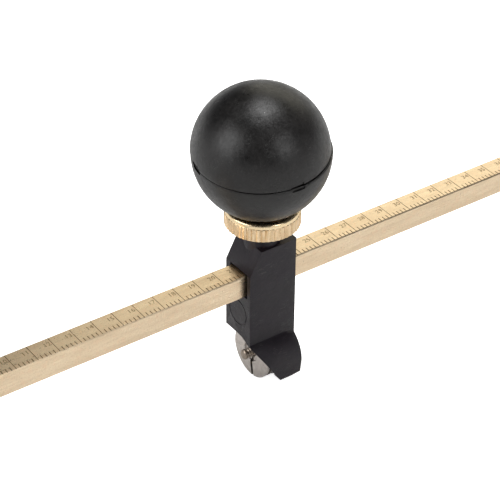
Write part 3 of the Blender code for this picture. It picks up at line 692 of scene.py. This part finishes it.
def make_lock_nut():
    """Knurled nut: straight teeth between two chamfers, with a turned, dished top."""
    radius = (NUT_HIGH.x - NUT_LOW.x) / 2
    low, top = NUT_LOW.z, NUT_HIGH.z
    outside = [(NUT_BORE, low), (radius - 1.2, low), (radius - 0.45, low + 0.10),
               (radius - 0.20, low + NUT_SHOULDER), (radius, low + NUT_SHOULDER + 0.1),
               (radius, top - 1.02), (radius - 0.10, top - 0.92), (radius - 0.08, top - 0.86),
               (radius - 0.20, top - 0.26), (radius - 0.30, top - 0.10), (radius - 0.46, top)]
    inside = [(6.95, top), (6.80, top - 0.12), (5.45, top - 1.25), (5.25, top - 1.5),
              (4.8, top - 2.0), (4.6, top - 2.1), (NUT_BORE, top - 2.1)]

    def knurl(angle, r, z):
        if r < radius - 0.05:
            return r, z
        place = angle * KNURL_TEETH / TURN
        uneven = 0.5 + 0.5 * math.sin(round(place) * 2.4)
        tooth = abs(place % 1 - 0.5) * 2
        cut = max(0.0, min(1.0, (tooth - KNURL_LAND - 0.12 * uneven) / KNURL_FLANK))
        return r - KNURL_DEPTH * (0.7 + 0.3 * uneven) * cut * cut * (3 - 2 * cut), z

    bm = lathe(outside + inside, KNURL_TEETH * 10, knurl, closed=True)
    # faces of the top band take the paler brass, partly a painted highlight
    for face in bm.faces:
        if face.calc_center_median().z > top - PLAIN_BAND:
            face.material_index = 1
    add_piece("knurled_lock_nut", bm, NUT_BRASS, HEAD, "nut", "nut_brass", "lock_nut",
              angle=38, cut_materials=(BAND_BRASS_HIGHLIGHT,))


SEAM_LIFT = 0.4
SEAM_RISE = Vector((0.643, 0.766, 0.0))
SEAM_TILT = math.radians(6.3)
SEAM_MATRIX = Matrix.Rotation(-SEAM_TILT, 3, Vector((0, 0, 1)).cross(SEAM_RISE))
SEAM_FRONT = 234.7        # degrees: the seam's side that faces (-0.58, -0.82)
GATE_TURNS = (31, -64)    # degrees from there: where the mould was filled
SEAM_OPEN = [(-180, 0.05), (-100, 0.05), (-84, 0.16), (-67, 0.18), (-60, 0.05), (-40, 0.02),
             (0, 0.04), (25, 0.05), (36, 0.13), (60, 0.16), (95, 0.13), (120, 0.05), (180, 0.05)]


BALL_WALL = 2.9
RIM_ANGLE = 0.9           # degrees of the shell left to the rim's small rounding
GATE_DEPTH, GATE_HALF_WIDTH, GATE_HALF_HEIGHT = 0.34, 1.5, 0.75
BALL_FLAT = 0.45          # height of the flat under the ball
BOSS_RADIUS, BOSS_BORE = 6.2, 4.1


def seam_gap(angle):
    """How far a rim stands back from the seam: open in two places, else nearly closed."""
    turn = (math.degrees(angle) - SEAM_FRONT + 180) % 360 - 180
    for (start, low), (end, high) in zip(SEAM_OPEN, SEAM_OPEN[1:]):
        if start <= turn <= end:
            return low + (high - low) * (turn - start) / (end - start)


def ball_shell(side, radius):
    """Half of the hollow ball about the seam's own axis; side is 1 above, -1 below."""
    seam = SEAM_LIFT * math.cos(SEAM_TILT)
    rim = math.degrees(math.asin(seam / radius))
    inner_rim = math.degrees(math.asin(seam / (radius - BALL_WALL)))
    outer = arc((0, 0), radius, 90 * side, rim + side * RIM_ANGLE, 56)
    inner = arc((0, 0), radius - BALL_WALL, inner_rim + side * RIM_ANGLE, 90 * side, 20)
    edge = math.cos(math.radians(rim)) * radius
    lip_rows = [(edge - 0.03, seam + side * 0.10), (edge - 0.12, seam + side * 0.03),
                (edge - 0.3, seam)]
    profile = [(0, radius * side)] + outer[1:] + lip_rows + inner[:-1]
    profile.append((0, (radius - BALL_WALL) * side))

    def open_seam(angle, r, z):
        fade = max(0.0, 1 - abs(z - seam) / 0.9)
        return r, z + side * seam_gap(angle) * fade

    return lathe(profile, 144, open_seam)


def gate_mark(turn, radius):
    """A shallow pocket across the seam where the moulding gate was broken off."""
    bm = block((radius - GATE_DEPTH, -GATE_HALF_WIDTH, SEAM_LIFT - GATE_HALF_HEIGHT),
               (radius + 1, GATE_HALF_WIDTH, SEAM_LIFT + GATE_HALF_HEIGHT))
    angle = math.radians(SEAM_FRONT + turn)
    bmesh.ops.rotate(bm, verts=bm.verts, matrix=Matrix.Rotation(angle, 3, "Z"))
    return bm


def make_ball(side, radius, centre, name, node):
    """One half of the ball handle; the lower one holds the insert's boss."""
    tools = [("DIFFERENCE", gate_mark(turn, radius)) for turn in GATE_TURNS]
    bm = combine(ball_shell(side, radius), *tools)
    bmesh.ops.rotate(bm, verts=bm.verts, matrix=SEAM_MATRIX)
    bmesh.ops.translate(bm, vec=centre, verts=bm.verts)
    if side < 0:
        foot = centre.z - radius
        low = foot + BALL_FLAT
        bm = combine(bm,
                     ("UNION", rod(BOSS_RADIUS, low + 1.9, low + 9.4, 61)),
                     ("DIFFERENCE", block((-9, -9, foot - 2), (9, 9, low))),
                     ("DIFFERENCE", rod(BOSS_BORE, foot - 2, low + 8.5, 59)))
    add_piece(name, bm, BALL_PLASTIC, HEAD, "handle", "ball_plastic", node, angle=30)


# ---- turret -----------------------------------------------------------------------

WHEEL_COUNT = 6
TURRET_RADIUS, TURRET_BACK_RADIUS, TURRET_CORE = 6.2, 6.4, 2.9
WHEEL_GROOVE = (-0.65, 0.55)            # the wheels stand between these x
TURRET_BORE, PIN_HOLE = 1.6, 0.5
CLAMP_NUT_RADIUS, CLAMP_NUT_BORE = 6.2, 1.3
DRIVER_SLOT_HALF, DRIVER_SLOT_TURN = 0.36, math.radians(-8)
WHEEL_RADIUS, WHEEL_HALF, WHEEL_BORE = 1.7, 0.5, 0.52
PIN_RADIUS = 0.4


def make_turret_nut():
    """Thin round nut with a driver slot and a recess around the stud."""
    low, high = local_box("turret_nut", TURRET)
    front, back, radius, bore = low.x, high.x, CLAMP_NUT_RADIUS, CLAMP_NUT_BORE
    profile = [(bore, back), (radius - 0.25, back), (radius, back - 0.18), (radius, front + 0.22),
               (radius - 0.22, front + 0.03), (radius - 0.4, front), (2.45, front),
               (2.3, front + 0.08), (2.15, front + 0.5), (bore, front + 0.5)]
    bm = along_bar(lathe(rounded(profile, 0.12, 3, True), 144, closed=True))
    # the slot's cut faces take the dark nickel: painted shade
    slot = block((front - 1, -DRIVER_SLOT_HALF, -7), (front + 0.6, DRIVER_SLOT_HALF, 7))
    bmesh.ops.rotate(slot, verts=slot.verts, matrix=Matrix.Rotation(DRIVER_SLOT_TURN, 3, "X"))
    bm = combine(bm, ("DIFFERENCE", slot, SLOT_SHADE_NICKEL))
    bm = soften(bm, 0.05, 2, 40)
    add_piece("slotted_turret_nut", bm, TURRET_NICKEL, TURRET, "head", "turret_nickel",
              "turret_nut", cut_materials=(SLOT_SHADE_NICKEL,))


def make_turret_screw():
    """Axle screw with a cut thread where it stands out of the nut."""
    low, high = local_box("turret_screw", TURRET)
    end, back = low.x, high.x
    crest, pitch = 1.2, 0.6
    run_out = end + 3.4
    shank, head_low = 1.45, back - 1.75
    rows = thread_rows(crest, end + 0.35, run_out, pitch, 8)
    tail = rounded([(crest, run_out + 0.1), (shank, run_out + 0.2), (shank, head_low),
                    (2.9, head_low), (2.9, back - 0.35), (2.5, back), (0, back)], 0.2)
    profile = [(0, end), (0.7, end), (0.95, end + 0.12)] + rows + tail[1:]
    bm = along_bar(lathe(profile, 48, thread_shape(crest, end + 0.35, run_out, pitch, 0.34)))
    slot = block((back - 0.75, -0.35, -4), (back + 1, 0.35, 4))
    bm = combine(bm, ("DIFFERENCE", slot))
    add_piece("threaded_turret_screw", bm, STUD_NICKEL, TURRET, "head",
              "turret_nickel", "turret_screw", angle=40)


def make_turret():
    """Two flanges on a core, drilled for the wheels' pins."""
    low, high = local_box("wheel_turret", TURRET)
    front, back = low.x, high.x
    groove_front, groove_back = WHEEL_GROOVE
    profile = [(TURRET_BORE, front), (TURRET_RADIUS, front), (TURRET_RADIUS, groove_front),
               (TURRET_CORE, groove_front), (TURRET_CORE, groove_back),
               (TURRET_BACK_RADIUS, groove_back), (TURRET_BACK_RADIUS, back),
               (TURRET_BORE, back)]
    bm = along_bar(lathe(rounded(profile, 0.1, 3, True), 120, closed=True))
    holes = []
    for i in range(WHEEL_COUNT):
        hole = along_bar(rod(PIN_HOLE, -3, 3, 24))
        centre = middle("wheel_pin_%d" % (i + 1)) - TURRET
        bmesh.ops.translate(hole, vec=(0, centre.y / MM, centre.z / MM), verts=hole.verts)
        holes.append(("DIFFERENCE", hole))
    bm = combine(bm, *holes)
    add_piece("wheel_spool", bm, SPOOL_STEEL, TURRET, "turret", "turret_nickel",
              "wheel_turret")


def make_wheel(index):
    """Ground cutting wheel: two cones meeting in the cutting edge, a bored hub."""
    node = "cutting_wheel_%d" % index
    centre = middle(node)
    edge, half, bore = WHEEL_RADIUS, WHEEL_HALF, WHEEL_BORE
    profile = [(bore, -half + 0.06), (0.6, -half), (edge - 0.62, -half), (edge - 0.5, -half + 0.05),
               (edge - 0.06, -0.06), (edge, 0), (edge - 0.06, 0.06),
               (edge - 0.5, half - 0.05), (edge - 0.62, half), (0.6, half), (bore, half - 0.06)]
    bm = along_bar(lathe(profile, 72, closed=True))
    add_piece("ground_wheel_%d" % index, bm, WHEEL_CARBIDE, centre, "wheel_%d" % index,
              "wheel_carbide", node, angle=20)


def make_wheel_pin(index):
    """Riveted pin: two domed ends."""
    node = "wheel_pin_%d" % index
    centre = middle(node)
    low, high = local_box(node, centre)
    profile = [(0, low.x), (0.22, low.x + 0.01), (0.36, low.x + 0.06), (PIN_RADIUS, low.x + 0.14),
               (PIN_RADIUS, high.x - 0.14), (0.36, high.x - 0.06), (0.22, high.x - 0.01),
               (0, high.x)]
    bm = along_bar(lathe(profile, 32))
    add_piece("rivet_pin_%d" % index, bm, SCREW_STEEL, centre, "turret", "screw_steel",
              node, angle=50)


# ---- spindle ----------------------------------------------------------------------

def make_spindle():
    """Threaded rod from the ball to the pressure pad, with a plain nose."""
    low, high = local_box("clamp_spindle", HEAD)
    crest, pitch = 2.0, 0.7
    start, end = low.z + 1.15, high.z - 0.5
    rows = thread_rows(crest, start, end, pitch, 6)
    profile = [(0, low.z), (0.9, low.z), (1.1, low.z + 0.2), (1.1, start - 0.15)]
    profile += rows + [(1.6, high.z), (0, high.z)]
    bm = lathe(profile, 36, thread_shape(crest, start, end, pitch, 0.38))
    add_piece("threaded_spindle", bm, SCREW_STEEL, HEAD, "handle", "screw_steel",
              "clamp_spindle", angle=60)


# ---- pivot ------------------------------------------------------------------------

def make_cup():
    """Suction cup: thin lip, moulded rings on its back, a ribbed neck."""
    high = local_box("suction_cup", PIVOT)[1]
    rim = high.x
    outside = [(rim - 3.0, 0), (rim - 0.25, 0), (rim, 0.25), (rim, 1.0), (rim - 0.5, 1.4),
               (rim - 3.5, 2.25), (rim - 4.3, 2.42), (rim - 4.5, 2.32), (rim - 4.9, 2.42),
               (rim - 5.1, 2.62), (18.0, 3.75), (17.8, 3.66), (17.3, 3.8), (17.1, 4.02),
               (15.0, 4.85), (13.0, 5.5), (11.4, 6.15), (10.2, 6.9), (9.3, 8.0), (9.0, 8.8),
               (9.0, 9.3), (8.7, 9.5), (8.7, 9.8), (8.9, 10.0), (8.9, 10.4), (8.6, 10.6),
               (8.6, 11.0), (8.3, high.z - 0.4), (7.9, high.z), (5.2, high.z)]
    socket = [(5.2, 5.6), (0, 5.6)]
    hollow = [(0, 3.2), (4.0, 3.15), (8.0, 3.0), (12.0, 2.5), (15.0, 2.0), (19.0, 1.0),
              (rim - 3.3, 0.05)]
    bm = lathe(rounded(hollow + outside + socket, 0.18, 3), 128)
    add_piece("rubber_suction_cup", bm, CUP_RUBBER, PIVOT, "base", "cup_rubber",
              "suction_cup", angle=40)


HUB_RADIUS = 9.0
ARM_START, ARM_END, ARM_HALF_WIDTH, ARM_HALF_HEIGHT = 2.0, 24.0, 6.0, 6.5
HUB_BORE, HUB_HEAD_BORE = 4.3, 5.3
SET_SCREW_X, SET_SCREW_HOLE = (13.0, 19.0), 1.7


def make_hub():
    """Pivot hub with its bar arm: rounded edges, a shallow groove round the hub."""
    low, high = local_box("pivot_hub", PIVOT)
    bottom, top = low.z, high.z
    bar = HEAD.z / MM
    radius = HUB_RADIUS
    body = [(0, bottom), (radius - 0.9, bottom), (radius, bottom + 0.9), (radius, top - 4.4),
            (radius - 0.25, top - 4.1), (radius - 0.25, top - 3.8), (radius, top - 3.5),
            (radius, top - 0.9), (radius - 0.9, top), (0, top)]
    arm = block((ARM_START, -ARM_HALF_WIDTH, bar - ARM_HALF_HEIGHT),
                (ARM_END, ARM_HALF_WIDTH, bar + ARM_HALF_HEIGHT))
    bmesh.ops.bevel(arm, geom=arm.edges, offset=0.9, segments=4, affect="EDGES")
    slot = BAR_HALF + 0.15
    shelf = top - 4.6
    bore = lathe([(0, bottom - 2), (HUB_BORE, bottom - 2), (HUB_BORE, shelf),
                  (HUB_HEAD_BORE, shelf), (HUB_HEAD_BORE, top + 2), (0, top + 2)], 83)
    tools = [("UNION", arm),
             ("DIFFERENCE", block((7.6, -slot, bar - slot), (ARM_END + 2, slot, bar + slot))),
             ("DIFFERENCE", bore)]
    for x in SET_SCREW_X:
        hole = rod(SET_SCREW_HOLE, -8.0, -BAR_HALF, 40)
        bmesh.ops.rotate(hole, verts=hole.verts, matrix=Matrix.Rotation(-math.pi / 2, 3, "X"))
        bmesh.ops.translate(hole, vec=(x, 0, bar), verts=hole.verts)
        tools.append(("DIFFERENCE", hole))
    bm = combine(lathe(rounded(body, 0.25, 4), 96), *tools)
    bm = soften(bm, 0.15, 2, 40)
    add_piece("moulded_hub", bm, HUB_PLASTIC, PIVOT, "arm", "hub_plastic", "pivot_hub")


def make_hub_cap():
    """Snap-in cap with a shallow dished centre and a rim bead."""
    low, high = local_box("pivot_cap", PIVOT)
    top = high.z
    profile = [(0, low.z), (5.0, low.z), (5.1, low.z + 0.1), (5.1, low.z + 1.6),
               (7.5, low.z + 1.6), (7.6, low.z + 1.75), (7.6, low.z + 2.1), (6.7, top - 0.35),
               (6.3, top - 0.15), (5.6, top), (5.2, top - 0.02), (4.9, top - 0.25),
               (2.5, top - 0.35), (0, top - 0.38)]
    bm = lathe(rounded(profile, 0.15, 3), 96)
    add_piece("snap_cap", bm, HUB_PLASTIC, PIVOT, "arm", "hub_plastic", "pivot_cap")


# ---- CAD nodes that stay ----------------------------------------------------------

def finish_node(node, material, bevel=0.0):
    """A CAD node whose shape is right: a better material and soft edges."""
    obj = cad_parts[node]
    obj.data.materials.clear()
    obj.data.materials.append(material)
    if bevel:
        mod = obj.modifiers.new("soft_edges", "BEVEL")
        mod.width = bevel * MM
        mod.segments = 2
        mod.limit_method = "ANGLE"
        mod.angle_limit = math.radians(40)


def finish_plain_nodes():
    """Inserts, bushes, screws and washers keep their CAD shape."""
    for node in ("cup_insert", "pivot_bush_lower", "pivot_bush_upper", "threaded_insert",
                 "pressure_pad", "ball_insert"):
        finish_node(node, INSERT_BRASS, 0.08)
    for node in ("pivot_screw", "bar_set_screw_1", "bar_set_screw_2", "lock_washer",
                 "turret_washer"):
        finish_node(node, SCREW_STEEL, 0.08)
    finish_node("thrust_washer", WASHER_NYLON, 0.08)


# ---- floor, lights and camera -----------------------------------------------------

FLOOR_NEAR, FLOOR_FAR, FLOOR_SEEN = 0.15, 0.70, 0.92   # glow on the object, glow as seen
GLOW_RISES, GLOW_FULL = 0.15, 0.7       # metres from the middle of the floor
FLOOR_SIZE, FLOOR_DROP = 12, 0.0004     # metres
WORLD_LOW, WORLD_HIGH, WORLD_FADE = 0.42, 0.07, 0.35   # at the horizon, overhead, how high


def make_floor():
    """Pale seamless floor, brighter far away, as a lit backdrop is."""
    bpy.ops.mesh.primitive_plane_add(size=FLOOR_SIZE, location=(0, 0, -FLOOR_DROP))
    floor = bpy.context.object
    floor.name = "floor"
    mat, tree, shader = new_material("pale_floor", (0.8, 0.8, 0.8), 0.8, specular=0.1)
    shader.inputs["Emission Color"].default_value = (1, 1, 1, 1)
    coords = add_node(tree, "ShaderNodeTexCoord").outputs["Object"]
    away = add_node(tree, "ShaderNodeVectorMath", {0: coords}, operation="LENGTH").outputs["Value"]
    glow = remap(tree, away, GLOW_RISES, GLOW_FULL, FLOOR_NEAR, FLOOR_FAR)
    seen = add_node(tree, "ShaderNodeLightPath").outputs["Is Camera Ray"]
    shown = add_node(tree, "ShaderNodeMix", {0: seen, 2: glow, 3: FLOOR_SEEN}).outputs[0]
    tree.links.new(shown, shader.inputs["Emission Strength"])
    floor.data.materials.append(mat)


def make_world():
    """A dim room above a bright horizon."""
    world = bpy.data.worlds.new("studio")
    bpy.context.scene.world = world
    world.use_nodes = True
    tree = world.node_tree
    background = tree.nodes["Background"]
    background.inputs["Color"].default_value = (0.96, 0.97, 1.0, 1)
    towards = add_node(tree, "ShaderNodeTexCoord").outputs["Generated"]
    height = add_node(tree, "ShaderNodeSeparateXYZ", {"Vector": towards}).outputs["Z"]
    tree.links.new(remap(tree, height, 0.0, WORLD_FADE, WORLD_LOW, WORLD_HIGH),
                   background.inputs["Strength"])


def add_light(name, direction, distance, size, power, colour=(1, 1, 1)):
    """A soft box that shines on the head from a direction."""
    data = bpy.data.lights.new(name, "AREA")
    data.shape = "RECTANGLE"
    data.size, data.size_y = size
    data.energy = power
    data.color = colour
    obj = bpy.data.objects.new(name, data)
    bpy.context.scene.collection.objects.link(obj)
    towards = Vector(direction).normalized()
    target = HEAD + Vector((0, 0, 0.02))
    obj.location = target + towards * distance
    obj.rotation_mode = "QUATERNION"
    obj.rotation_quaternion = towards.to_track_quat("Z", "Y")


def make_lights():
    """Four soft boxes around the head."""
    add_light("overhead_box", (0.15, 0.10, 1.0), 0.9, (0.45, 0.45), 5.0)
    add_light("left_box", (-0.86, 0.16, 0.48), 0.9, (0.62, 0.55), 3.9)
    add_light("near_box", (0.15, -0.84, 0.52), 0.9, (0.30, 0.35), 1.9)
    add_light("far_box", (0.76, 0.52, 0.50), 1.2, (1.1, 0.7), 3.3, (1.0, 0.955, 0.80))


CAMERA_AZIMUTH, CAMERA_HEIGHT_ANGLE, CAMERA_ROLL = 35.36, 35.15, -0.51   # degrees
CAMERA_OFFSET = Vector((-0.19453, -0.26971, 0.23966))   # camera from the head's middle
CAMERA_LENS = 137.3       # millimetres on the 36 mm sensor


def make_camera():
    """The camera of the reference view, looking at the head."""
    data = bpy.data.cameras.new("camera")
    data.sensor_width = 36.0
    data.lens = CAMERA_LENS
    data.clip_start, data.clip_end = 0.01, 50.0
    camera = bpy.data.objects.new("camera", data)
    bpy.context.scene.collection.objects.link(camera)
    azimuth, drop = math.radians(CAMERA_AZIMUTH), math.radians(CAMERA_HEIGHT_ANGLE)
    level = Vector((math.sin(azimuth), math.cos(azimuth), 0))
    forward = level * math.cos(drop) - Vector((0, 0, math.sin(drop)))
    right = Vector((math.cos(azimuth), -math.sin(azimuth), 0))
    up = right.cross(forward)
    turned = Matrix((right, up, -forward)).transposed().to_4x4()
    camera.matrix_world = (Matrix.Translation(HEAD + CAMERA_OFFSET) @ turned
                           @ Matrix.Rotation(math.radians(-CAMERA_ROLL), 4, "Z"))
    bpy.context.scene.camera = camera


# ---- build ------------------------------------------------------------------------

make_camera()
make_lights()
make_world()
make_floor()
bpy.context.scene.view_settings.view_transform = "Standard"

make_bar()
make_head()
make_lock_nut()
make_ball(1, UPPER_RADIUS, UPPER_CENTRE, "ball_top_shell", "ball_upper")
make_ball(-1, LOWER_RADIUS, LOWER_CENTRE, "ball_bottom_shell", "ball_lower")
make_turret_nut()
make_turret_screw()
make_turret()
for wheel in range(1, WHEEL_COUNT + 1):
    make_wheel(wheel)
    make_wheel_pin(wheel)
make_spindle()
make_cup()
make_hub()
make_hub_cap()
finish_plain_nodes()
